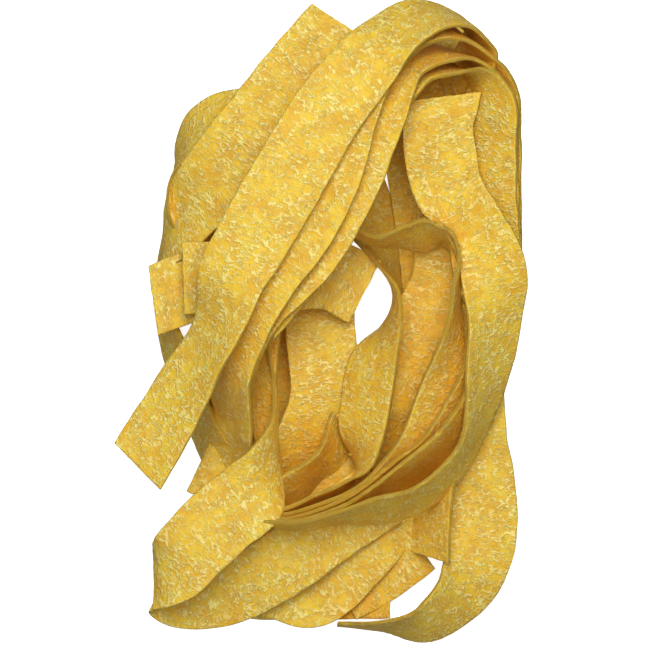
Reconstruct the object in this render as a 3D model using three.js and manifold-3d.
// A dry pasta nest: wide flat egg ribbons, dried in a loose oval coil that lies flat on the table.
// The nest is one solid out to its uneven outline. Each ribbon is a thick band along its own route,
// and plain lumps fill the hidden inside, so the bands stay joined. The gaps that go right through
// the real nest stay open.
// Millimetres. +Z is up, +Y is along the nest, +X is to the right, seen from above.

import * as THREE from 'three';
import { mergeVertices } from 'three/addons/utils/BufferGeometryUtils.js';
import Module from 'manifold-3d';

// Driving dimensions
const ribbonWidth = 15;
const bandThickness = 2.4;
const bandStep = 7.5;
const coreSides = 10;
const coreRings = 3;
const trimTolerance = 0.08;

// Routes of the ribbons. Each station is [x, y, z, azimuth, tilt], or with a width factor at the end.
// The first three place the centre line. Azimuth and tilt, in degrees, give the direction across the
// ribbon: 0, 0 is a ribbon lying flat with its width along +X, and tilt 90 is one on its edge.
const routes = {
  // The top ribbon: a long flat run, over the far bend, and down round the outside as the lowest turn.
  'sweep': [
    [-37.8, -30.4, 27, -42, 10, 0.92], [-32.5, -21.6, 28.5, -29, 30], [-27.1, -12.6, 30.5, -25, 39],
    [-22.7, -5, 33, -18, 50], [-19.7, 2, 35, -15, 40], [-18.5, 7.5, 37, -22, 22],
    [-12.2, 19.3, 38.5, -28, 2, 1.04], [-5.3, 31.2, 39, -30, 0, 1.04], [2.7, 44.4, 39, -37, 4],
    [8.9, 52.2, 38.5, -42, 14, 0.98], [15.9, 60.2, 36, -46, 42], [22.6, 64.3, 33, -50, 52],
    [27.6, 64.5, 31, -57, 68], [32, 62.7, 29, -60, 84], [34.2, 59.4, 26.5, 32, 76],
    [34, 54, 22, 12, 60], [35.6, 42, 15, 0, 34], [36, 25, 10, 0, 20], [35, 8, 8, -2, 8],
    [32.8, -8, 7, -4, 5], [33.3, -24, 6.5, -5, 8], [35.8, -38.6, 6, -2, 5, 0.96],
    [34.6, -50.4, 6, -20, -12], [30.3, -59.2, 7, -40, -40], [23.2, -64.6, 7.5, -62, -56],
    [14, -65.2, 8.2, -85, -80], [4.5, -64.8, 8.3, -88, -84],
  ],
  // The next ribbon inward, from under the near turn, over the bend and down the right wall.
  'fold2': [
    [-20, -37, 10, 12, 34], [-18.3, -29.5, 12.2, 6, 54], [-18, -22, 18, 0, 62],
    [-18.4, -10.5, 26.5, -10, 54], [-16.6, -2, 30, -22, 38], [-9.4, 11.8, 34, -38, 18],
    [-4, 19, 35, -30, 14], [2, 30.6, 35.5, -24, 14], [6.4, 45, 35.5, -18, 20],
    [11.6, 55.2, 34, -38, 32], [20.1, 61.3, 30.5, -58, 56], [27.7, 61.5, 28.6, -88, 74],
    [32.6, 58.7, 27.5, 80, 88], [35.5, 54.8, 25.5, 30, 70], [37.5, 48.8, 22.6, 12, 52],
    [37, 40, 20, 0, 36], [36.8, 25, 16.5, 0, 30], [36.4, 12, 12.6, 0, 4], [36.4, 2, 11, 0, -20],
    [34, -14, 9.6, -8, -34], [28.4, -26, 10, -20, -40],
  ],
  // A short end that stands steeply inside the lower right ribbon.
  'dark tail': [
    [27, -24, 6.6, -18, 50], [25.2, -35, 7.2, -14, 56], [24.3, -43, 7.2, -8, 56],
    [23.4, -50.2, 6.4, -30, 44],
  ],
  // The third ribbon of the bundle, which comes back along the lower right as a nested edge.
  'fold3': [
    [-19.5, -40, 7, 12, 25], [-18.6, -32, 7.6, 6, 38], [-18.6, -25, 10.8, 0, 48],
    [-18.7, -18, 17, -2, 58], [-18, -9.8, 24, -14, 48], [-13, 3.6, 28.6, -34, 24],
    [-3, 14.2, 31.5, -42, 12], [6, 29.6, 32.6, -27, 12], [11.4, 43, 32.6, -20, 18],
    [18.4, 55.2, 29.5, -52, 50], [27.7, 56.6, 27, -90, 79], [33, 55.1, 26, 70, 86],
    [35.8, 51.7, 25, 35, 70], [36.7, 48, 24.2, 14, 50], [36.4, 40, 21.6, 0, 35],
    [36.2, 25, 18.2, 0, 26], [36, 12, 14.8, 0, -15], [35.8, 2, 14.2, 0, -50], [35, -8, 15.6, -5, -62],
    [31.2, -19.5, 15.5, -38, -52], [25.2, -27, 14.5, -48, -62], [16.2, -32.8, 14, -50, -70],
    [10.2, -37, 14.5, -46, -74], [3, -40.6, 15, -62, -76], [-5.5, -43, 15.2, -76, -77],
    [-11, -43, 15.2, -88, -78],
  ],
  // The innermost ribbon of the bundle; its inner face lines the right wall.
  'fold4': [
    [-14, 1, 25.5, -38, 22], [-3.5, 14.5, 29, -38, 10], [3.6, 27.5, 30, -27, 8],
    [8.8, 38.5, 30, -22, 12], [13.6, 47.5, 29, -34, 34], [20.4, 52.7, 27, -52, 60],
    [29.2, 53.4, 26, -88, 80], [34.1, 51.3, 25.6, 48, 72], [35.8, 47.4, 25.8, 18, 46],
    [35.8, 40, 23.2, 0, 34], [35.6, 25, 19.9, 0, 26], [36, 12, 17.4, 0, -12], [37.2, 2, 17.4, 0, -48],
    [37, -8, 18, -5, -62], [33.7, -18.4, 17.6, -28, -60], [28.6, -25.2, 16.6, -45, -62],
    [20, -31.7, 15.8, -52, -70], [12.5, -36.8, 15.6, -48, -74], [5, -41, 16, -62, -76],
    [-3.5, -43.4, 16.2, -76, -78], [-10.5, -43.2, 16.2, -90, -80],
  ],
  // Starts with a cut end inside the bend and runs down over the right wall to the near end.
  'gate': [
    [26.9, 47.6, 26.5, 10, 3], [25.6, 41, 25.4, 0, 2], [26.2, 35, 24.4, -1, 2, 1.02],
    [27.6, 28.7, 24, 12, 8], [33.2, 20.9, 24.6, 22, 20, 0.88], [37, 12.5, 24, 14, 4, 0.93],
    [37.7, 2, 22.6, 2, -36], [36.3, -10, 20.4, -8, -50], [34.9, -18, 19, -14, -63],
    [32.7, -25.3, 18, -30, -72], [28.4, -32.2, 17.6, -48, -70], [21.4, -37.9, 17.4, -66, -67],
    [12, -40.2, 17.4, -76, -68], [3.5, -41.5, 17.6, -74, -82], [-4, -43, 17.4, -82, -84],
    [-10.8, -42.6, 17, -92, -86],
  ],
  // A ribbon on its edge in an S, which then lies down along the lower right.
  'hook': [
    [0, 24, 21, -60, -80], [7.5, 19.6, 21, -75, -84], [13, 17.1, 21, -90, -84],
    [18, 18, 20.8, -92, -74], [23, 18.5, 20.5, -92, -64], [27.2, 18.2, 20.6, -130, -78],
    [29.8, 14, 20.6, 170, -88], [30.2, 9, 20.4, -2, -79], [30.6, 3, 19.4, -6, -69],
    [30.3, -5.8, 18, -18, -48], [27.2, -17.1, 15.5, -22, -34], [22.6, -26.7, 14, -32, -44],
    [15.7, -33.2, 13.4, -45, -60], [9.8, -37, 14, -52, -72], [2, -40, 14.4, -64, -77],
    [-6, -42.2, 14, -72, -78], [-11.5, -42.7, 14, -84, -78],
  ],
  // From the cut end at the far left, it turns onto its edge down the left side.
  'top left': [
    [5.3, 63.1, 25, -35, 0], [0.4, 57.8, 25, -38, 0], [-9.7, 45.7, 23.8, -40, 0],
    [-18.8, 34.4, 21.5, -38, 2], [-24.2, 27.4, 18.5, -32, 18], [-29.8, 19.3, 13.2, -26, 54],
    [-33.2, 12.6, 9.6, -12, 82], [-33.3, 4, 8.8, 0, 80], [-30.8, -5, 8, 18, 68],
    [-27.6, -13.8, 8, 22, 65], [-24.1, -23, 8, 28, 65], [-21.2, -28.2, 7.6, 32, 60],
    [-16.5, -35, 6.2, 38, 38],
  ],
  // A short loop standing behind the far left ribbon.
  'back loop': [
    [-2, 44, 12.6, -85, 20], [-9, 44.6, 12, -88, 34], [-15.4, 44.2, 11.4, -80, 40],
    [-21.4, 42.8, 10.4, -60, 42], [-25.8, 40, 9.6, -44, 52], [-28.8, 36.8, 9, -22, 72],
    [-30.3, 31.6, 8.2, 180, 86], [-28.6, 25.4, 7.6, 205, 60], [-22.6, 19.6, 4.8, 232, 20],
    [-15, 14, 3.8, 240, 5], [-6, 9, 3, 245, 0],
  ],
  // The lower of the two cut ends on the left.
  'left end': [
    [-34.8, 4.5, 17.6, 98, 0, 0.97], [-28.3, 7, 17, 95, 0], [-22, 8.6, 15.4, 92, 0],
    [-13, 8.8, 10.5, 85, 0], [-4, 6.4, 6, 78, 0], [1.5, 5, 5, 78, 0],
  ],
  // The short flat piece that crosses under the bundle, with a cut end on each side.
  'short': [
    [-28.3, 9.2, 22, 90, 0, 1.03], [-22, 9.4, 21, 90, 0, 1.02], [-13, 9.8, 16.5, 92, 0],
    [-5, 9.9, 14, 94, 0], [3, 10, 13.4, 84, 0], [10.2, 6.4, 13, 62, 0],
  ],
  // The wide ribbon in the middle, which curls under at its near end.
  'middle': [
    [0.6, 13, 7, 0, 0], [0.5, 5, 7, 0, 0], [0.9, -4, 8.6, 2, 0], [1.7, -11, 9.6, 3, -3],
    [1.2, -18, 8.8, -8, -12], [-1.8, -23.8, 7, -28, -30], [-6.3, -28.8, 6.5, -48, -42],
    [-10.4, -31.6, 7.2, -54, -36],
  ],
  // Deep at its far end, on edge past the middle opening, then leaning, then on edge again.
  'twist': [
    [2.5, 37, 8.4, 30, 6], [7.6, 28.6, 7, 22, -18], [12, 20.3, 6.8, 8, -42], [14.8, 12, 8.4, 2, -70],
    [16.5, 5.6, 11.5, 4, -88], [15.6, 0, 14, 186, -74], [11.8, -9.5, 15.6, 176, -44, 0.94],
    [10.4, -17.5, 15, 176, -42, 0.92], [9.4, -25, 13.8, 168, -54, 0.98], [9.4, -29.4, 12.8, 156, -72],
    [8.7, -32.3, 12.4, 140, -88], [4.8, -36, 12.6, -58, -80], [0, -38.2, 13, -68, -77],
    [-5.4, -40.6, 13.6, -65, -77], [-11, -42.4, 14, -68, -78],
  ],
  // Rises on edge beside the middle, turns over into a wide flat face, then a U-turn at the near left.
  'face': [
    [-10.2, 4, 9, 178, 80], [-9.9, -5, 9.5, 178, 86], [-9, -14, 10.4, 178, 90],
    [-8.7, -20, 13, 172, 88], [-8.9, -24.8, 16.4, 125, 77], [-10.7, -31.8, 21, 137, 42],
    [-13.9, -36.7, 23.4, 143, 6, 1.05], [-20.2, -41.9, 24.6, 137, 0, 1.06],
    [-26.2, -47.8, 24.6, 130, 0, 1.03], [-30.2, -52, 23, 112, 0], [-32.9, -53.6, 20.6, 98, 0, 0.94],
    [-34.2, -54, 17.4, 91, 0, 0.97], [-33.2, -54.8, 14.6, 93, 0], [-29.6, -57.6, 12.4, 100, 4],
    [-21, -58.4, 11.8, 110, 24], [-11, -53.8, 11.8, 117, 16], [-3, -48.4, 11.2, 122, 10],
    [3.6, -43.6, 9.2, 124, 8], [9.4, -39.8, 7.2, 124, 5], [14.4, -36.6, 6, 126, 0],
  ],
  // Lies low inside the right half, behind the gaps of the far bend.
  'back strip': [
    [25, -16, 2.4, 172, 0], [26, 0, 2.6, 180, 0], [25.6, 10, 3, 180, 0], [24, 23, 4, 178, 0],
    [22.3, 34, 6, 184, 0], [20.6, 45, 12, 198, -8], [16.6, 54, 17, 216, -12],
  ],
  // Slopes up beside the middle, under the near face.
  'ramp': [
    [-13, 10, 8, -8, 20], [-14, -2, 10, -4, 34], [-14.4, -12, 11, 0, 40], [-15, -21, 11.4, -4, 38],
    [-17.4, -30, 11.4, -14, 25], [-21, -39, 11.5, -14, 8],
  ],
  // Lies just outside the lower arm of the U-turn.
  'under': [
    [22, -32, 3.4, -24, -14], [18.6, -38, 3.8, -32, -20], [13.7, -44.3, 4.4, -38, -12],
    [7.6, -51, 5, -45, -4], [-1.4, -58.2, 5.6, -72, -4], [-8, -56.5, 6, -96, -4],
    [-14.6, -55.2, 6, -100, 0], [-24, -54, 6, -95, 0],
  ],
  // The flat ribbon low inside the right half.
  'inner': [
    [22, 56, 13, -10, 10], [27, 45, 11.5, -8, 5], [28.6, 30, 10, -5, 0], [28.6, 17, 9.4, -12, 0],
    [27.3, 7.4, 9.4, -24, 0], [23.4, -0.4, 9.6, -22, 0], [22, -10, 9.6, -8, -20],
    [22, -18, 9.2, -10, -34], [17.6, -26.4, 7, -30, -34], [12.6, -32.4, 4.6, -42, -20],
  ],
  // A narrow view of a ribbon on edge, between the middle and the near left.
  'strip': [
    [15, -14.6, 2.4, -60, -5], [10, -20.6, 2.8, -52, -16], [5.4, -25.4, 4.6, -46, -46],
    [0.7, -30.6, 7.6, -48, -70], [-5.6, -36.2, 9.4, -52, -60], [-13, -42, 10.2, -56, -50],
  ],
  // The lowest ribbon, flat on the table.
  'floor strip': [
    [19, -6, 1.6, -40, 0], [13.4, -16, 1.4, -18, 0], [11, -25, 1.4, -16, 0], [8.3, -33, 1.4, -24, 0],
    [4.6, -41.2, 1.4, -36, 0], [-4, -48, 1.4, -55, 0], [-14, -51, 1.4, -78, 0],
    [-24, -50.5, 1.4, -95, 0],
  ],
  // A short cut end at the near right.
  'wedge': [
    [20.9, -47.2, 3, -52, -4], [13, -53.2, 2, -52, 0], [5, -57.6, 2.4, -66, 0],
  ],
  // A flat end on the table under the near side.
  'base': [
    [15.6, -56.3, 2, 90, 0], [4, -56.6, 1.4, 90, 0], [-8, -56.6, 3.4, 90, 0], [-20, -56, 3, 92, 0],
  ],
  // Runs low round the inside of the far bend.
  'bend floor': [
    [8, 46, 15, -35, 5], [14, 55, 11.5, -48, 5], [21, 59, 9.4, -75, 5], [28.1, 56.6, 8, -118, 5],
    [32.8, 50.8, 7.4, -150, 5], [35, 43, 5, -175, 5], [35.4, 30, 3, 180, 0], [34, 18, 2, 180, 0],
  ],
  // Runs low under the far left ribbon.
  'left floor': [
    [-3, 46.5, 7.4, -70, 0], [-11, 43.6, 6.4, -66, 0], [-18.4, 39.6, 5.6, -52, 0],
    [-22.8, 33.3, 5, -30, 0], [-22, 24.5, 4.4, -10, 0], [-18, 15, 2, 22, 0], [-12.4, 5.6, 1.4, 26, 0],
    [-9, -4, 1, 8, 0], [-8.4, -14, 1, 0, 0], [-8.4, -24, 1, 0, 0],
  ],
};

// Lumps of the core, as [x, y, z] of both ends and a radius. The ones that reach the table are cut
// flat by it, and the nest rests on them.
const coreLumps = [
  // Under the bundle, from the left end to the far bend
  [[-20, 9, 7.5], [-12, 28, 7.5], 9.5],
  [[-12, 28, 7.5], [4, 46, 8], 10],
  [[4, 46, 8], [20, 55, 14], 8.5],
  // Under the right wall and the front band
  [[29, 44, 7], [30, 18, 6], 8],
  [[30, 18, 6], [28, -8, 5], 7],
  [[28, -8, 5], [21, -28, 4.5], 6],
  // Under the near end
  [[21, -28, 4.5], [13, -41, 4.5], 6],
  [[-24, -52, 4.5], [2, -51, 4.5], 6],
  [[2, -51, 4.5], [13, -41, 4.5], 6],
  [[-19, -42, 14], [-12, -38, 13], 8],
  // Under the middle ribbon
  [[1, -16, 3.5], [0, 8, 3.5], 5],
  [[0, 8, 3.5], [-12, 12, 6], 6],
  // Under the left edge
  [[-28, 2, 4], [-27, -8, 4], 5],
];

const wasm = await Module();
wasm.setup();
const { Manifold, Mesh } = wasm;

// Direction across a ribbon, from azimuth and tilt
function acrossFrom(azimuth, tilt) {
  const a = THREE.MathUtils.degToRad(azimuth);
  const t = THREE.MathUtils.degToRad(tilt);
  return [Math.cos(a) * Math.cos(t), Math.sin(a) * Math.cos(t), Math.sin(t)];
}

// A smooth curve through the stations, paced by the distance between them. Each sample holds the
// centre, the direction across and the width.
function sampleRoute(stations, step) {
  const knots = stations.map(([x, y, z, azimuth, tilt, factor = 1]) => [
    x, y, z, ...acrossFrom(azimuth, tilt), factor * ribbonWidth,
  ]);
  const along = [0];
  for (let i = 1; i < knots.length; i += 1) {
    const d = Math.hypot(...[0, 1, 2].map((k) => knots[i][k] - knots[i - 1][k]));
    along.push(along[i - 1] + d);
  }
  const slopes = knots.map((knot, i) => {
    const before = Math.max(i - 1, 0);
    const after = Math.min(i + 1, knots.length - 1);
    return knot.map((_, k) => (knots[after][k] - knots[before][k]) / (along[after] - along[before]));
  });
  const total = along[along.length - 1];
  const count = Math.max(2, Math.round(total / step));
  const samples = [];
  for (let i = 0; i <= count; i += 1) {
    const s = total * i / count;
    let n = 0;
    while (n < knots.length - 2 && s > along[n + 1]) n += 1;
    const h = along[n + 1] - along[n];
    const u = (s - along[n]) / h;
    const a = 2 * u ** 3 - 3 * u ** 2 + 1;
    const b = u ** 3 - 2 * u ** 2 + u;
    const c = 3 * u ** 2 - 2 * u ** 3;
    const d = u ** 3 - u ** 2;
    samples.push(knots[n].map((v, k) => (
      a * v + b * h * slopes[n][k] + c * knots[n + 1][k] + d * h * slopes[n + 1][k]
    )));
  }
  return samples;
}

// The four corners of a band's cross-section at one sample
function crossSection(samples, i) {
  const centre = new THREE.Vector3(...samples[i].slice(0, 3));
  const before = new THREE.Vector3(...samples[Math.max(i - 1, 0)].slice(0, 3));
  const after = new THREE.Vector3(...samples[Math.min(i + 1, samples.length - 1)].slice(0, 3));
  const forward = after.sub(before).normalize();
  const across = new THREE.Vector3(...samples[i].slice(3, 6));
  across.addScaledVector(forward, -across.dot(forward)).normalize();
  const normal = new THREE.Vector3().crossVectors(across, forward);
  const corners = [];
  for (const side of [-0.5, 0.5]) {
    for (const face of [-0.5, 0.5]) {
      const corner = centre.clone().addScaledVector(across, side * samples[i][6]);
      corners.push(corner.addScaledVector(normal, face * bandThickness).toArray());
    }
  }
  return corners;
}

// A ribbon as one closed band: four long faces between neighbouring cross-sections, and two ends
function ribbonBand(stations) {
  const samples = sampleRoute(stations, bandStep);
  const corners = samples.flatMap((_, i) => crossSection(samples, i));
  const round = [0, 1, 3, 2];
  const triangles = [];
  for (let i = 1; i < samples.length; i += 1) {
    for (let k = 0; k < 4; k += 1) {
      const a = 4 * (i - 1) + round[k];
      const b = 4 * (i - 1) + round[(k + 1) % 4];
      triangles.push(a, b, a + 4, b, b + 4, a + 4);
    }
  }
  const end = 4 * (samples.length - 1);
  triangles.push(0, 3, 1, 0, 2, 3);
  triangles.push(end, end + 1, end + 3, end, end + 3, end + 2);
  return new Manifold(new Mesh({
    numProp: 3,
    vertProperties: new Float32Array(corners.flat()),
    triVerts: new Uint32Array(triangles),
  }));
}

// A lump of the core: a capsule from one end to the other
function coreLump([from, to, radius]) {
  const start = new THREE.Vector3(...from);
  const end = new THREE.Vector3(...to);
  const direction = end.clone().sub(start);
  const capsule = new THREE.CapsuleGeometry(radius, direction.length(), coreRings, coreSides);
  const up = new THREE.Vector3(0, 1, 0);
  capsule.applyQuaternion(new THREE.Quaternion().setFromUnitVectors(up, direction.normalize()));
  capsule.translate(...start.lerp(end, 0.5).toArray());
  capsule.deleteAttribute('normal');
  capsule.deleteAttribute('uv');
  const merged = mergeVertices(capsule, 1e-4);
  return new Manifold(new Mesh({
    numProp: 3,
    vertProperties: new Float32Array(merged.attributes.position.array),
    triVerts: new Uint32Array(merged.index.array),
  }));
}

// Join everything, cut it flat at the table and keep the one large body, without the tiny closed
// pockets between crossing bands. The middle of the footprint's box goes to the origin.
function buildNest() {
  const bands = Object.values(routes).map(ribbonBand);
  const lumps = coreLumps.map(coreLump);
  const whole = Manifold.union([...bands, ...lumps]).trimByPlane([0, 0, 1], 0);
  const bodies = whole.simplify(trimTolerance).decompose();
  const nest = bodies.reduce((most, body) => (body.volume() > most.volume() ? body : most));
  const { min, max } = nest.boundingBox();
  return nest.translate([-(min[0] + max[0]) / 2, -(min[1] + max[1]) / 2, 0]);
}

// A manifold solid as a three.js geometry
function toGeometry(solid) {
  const mesh = solid.getMesh();
  const geometry = new THREE.BufferGeometry();
  geometry.setAttribute('position', new THREE.BufferAttribute(mesh.vertProperties, mesh.numProp));
  geometry.setIndex(new THREE.BufferAttribute(mesh.triVerts, 1));
  geometry.computeVertexNormals();
  return geometry;
}

// Golden egg pasta: dry, matt and not metallic
const pasta = new THREE.MeshStandardMaterial({ color: '#e9b93c', roughness: 0.7, metalness: 0 });

const nest = new THREE.Mesh(toGeometry(buildNest()), pasta);
nest.name = 'nest';

const part = new THREE.Group();
part.add(nest);

export default part;
